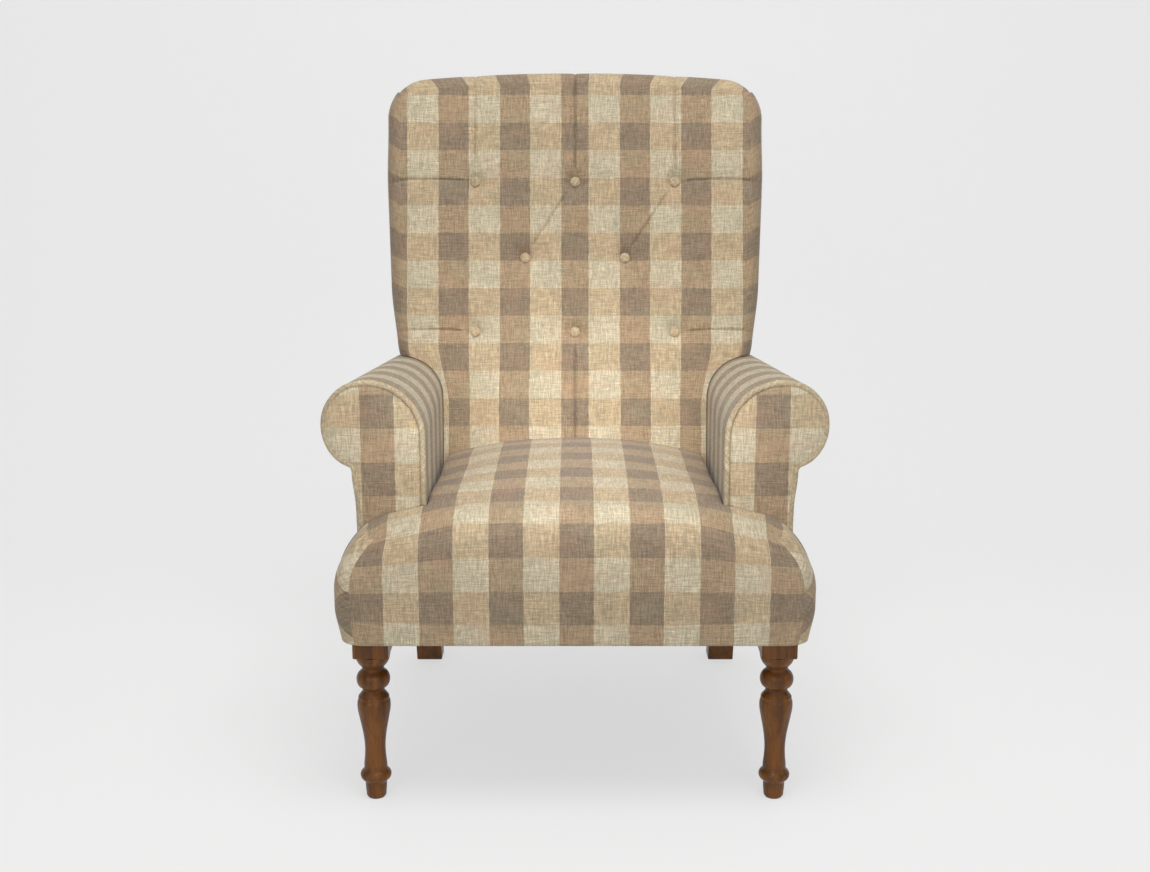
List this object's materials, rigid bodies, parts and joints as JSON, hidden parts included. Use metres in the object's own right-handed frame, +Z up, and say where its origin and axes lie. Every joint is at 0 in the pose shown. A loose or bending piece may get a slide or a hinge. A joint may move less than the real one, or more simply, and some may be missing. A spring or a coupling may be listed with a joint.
{
  "type": "fireside chair",
  "caption": "Upholstered fireside chair with a domed T-shaped seat, rolled arms with piped facings, a leaning tufted back, turned front legs and raked square rear legs.",
  "frame": {"origin": "middle of the chair's bounding box at floor level", "axes": "+Z up, +X to the right seen from the front, +Y from the front of the seat to the back of the chair"},
  "size_m": [0.7336, 0.7172, 1.067],
  "materials": {
    "beech_polished": "stained, satin polish",
    "beech_frame": "planed, bare",
    "check_cloth": "slubbed linen cloth with a woven check",
    "webbing": "woven jute webbing",
    "hessian": "coarse hessian",
    "stuffing": "firm stitched stuffing",
    "twine": "waxed twine",
    "dust_cloth": "thin black cambric"
  },
  "bodies": {
    "root": {"front_leg_right": "beech_polished", "front_leg_left": "beech_polished", "rear_leg_right": "beech_polished", "rear_leg_left": "beech_polished", "front_seat_rail": "beech_frame", "rear_seat_rail": "beech_frame", "side_seat_rail_right": "beech_frame", "side_seat_rail_left": "beech_frame", "corner_blocks": "beech_frame", "back_top_rail": "beech_frame", "back_lower_rail": "beech_frame", "arm_stump_right": "beech_frame", "arm_stump_left": "beech_frame", "arm_board_right": "beech_frame", "arm_board_left": "beech_frame", "arm_stuffing_rail_right": "beech_frame", "arm_stuffing_rail_left": "beech_frame", "seat_cover": "check_cloth", "inside_back": "check_cloth", "back_buttons": "check_cloth", "outside_back": "check_cloth", "arm_cover_right": "check_cloth", "arm_cover_left": "check_cloth", "outside_arm_right": "check_cloth", "outside_arm_left": "check_cloth", "arm_facing_right": "check_cloth", "arm_facing_left": "check_cloth", "arm_piping_right": "check_cloth", "arm_piping_left": "check_cloth", "seat_webbing": "webbing", "back_webbing": "webbing", "seat_hessian": "hessian", "back_hessian": "hessian", "seat_stuffing": "stuffing", "button_twines": "twine", "dust_cover": "dust_cloth"}
  },
  "joints": []
}
